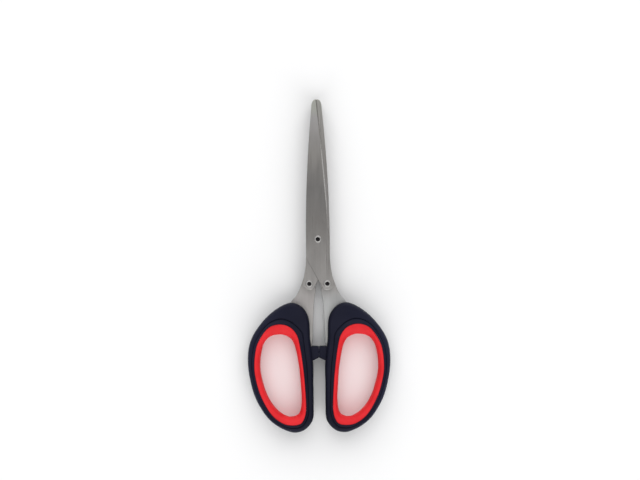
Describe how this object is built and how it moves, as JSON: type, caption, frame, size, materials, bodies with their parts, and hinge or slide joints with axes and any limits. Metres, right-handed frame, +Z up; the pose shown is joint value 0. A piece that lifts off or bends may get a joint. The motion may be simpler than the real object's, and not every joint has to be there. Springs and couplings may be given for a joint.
{
  "type": "herb scissors",
  "caption": "Scissors with a stack of parallel blade pairs on one pivot, for chopping herbs, with moulded handles and soft finger rings.",
  "frame": {"origin": "on the pivot axis, at the flat underside that the closed scissors lie on", "axes": "+Y along the blades to the tips, +Z up through the stack to the hollow rivet ends, +X to the right half's handle"},
  "size_m": [0.087, 0.2029, 0.0152],
  "materials": {
    "blade_steel": "satin brushed stainless steel",
    "rivet_steel": "turned and rolled stainless steel",
    "spacer_steel": "tumbled stainless steel",
    "handle_plastic": "moulded polypropylene, satin",
    "grip_rubber": "moulded thermoplastic rubber, satin"
  },
  "bodies": {
    "right_half": {"right_blade_1": "blade_steel", "right_blade_2": "blade_steel", "right_blade_3_tang": "blade_steel", "right_blade_4": "blade_steel", "right_blade_5": "blade_steel", "right_rivet": "rivet_steel", "right_rivet_spacer_1": "spacer_steel", "right_rivet_spacer_2": "spacer_steel", "right_rivet_spacer_3": "spacer_steel", "right_rivet_spacer_4": "spacer_steel", "right_handle": "handle_plastic", "right_finger_grip": "grip_rubber", "pivot_rivet": "rivet_steel", "pivot_spacer_1": "spacer_steel", "pivot_spacer_2": "spacer_steel", "pivot_spacer_3": "spacer_steel", "pivot_spacer_4": "spacer_steel"},
    "left_half": {"left_blade_1": "blade_steel", "left_blade_2": "blade_steel", "left_blade_3_tang": "blade_steel", "left_blade_4": "blade_steel", "left_blade_5": "blade_steel", "left_rivet": "rivet_steel", "left_rivet_spacer_1": "spacer_steel", "left_rivet_spacer_2": "spacer_steel", "left_rivet_spacer_3": "spacer_steel", "left_rivet_spacer_4": "spacer_steel", "left_handle": "handle_plastic", "left_finger_grip": "grip_rubber"}
  },
  "joints": [
    {"name": "blade_pivot", "type": "hinge", "parent": "right_half", "child": "left_half", "pos_m": [0, 0, 0.0076], "axis": [0, 0, -1], "range_deg": [0, 135]}
  ]
}
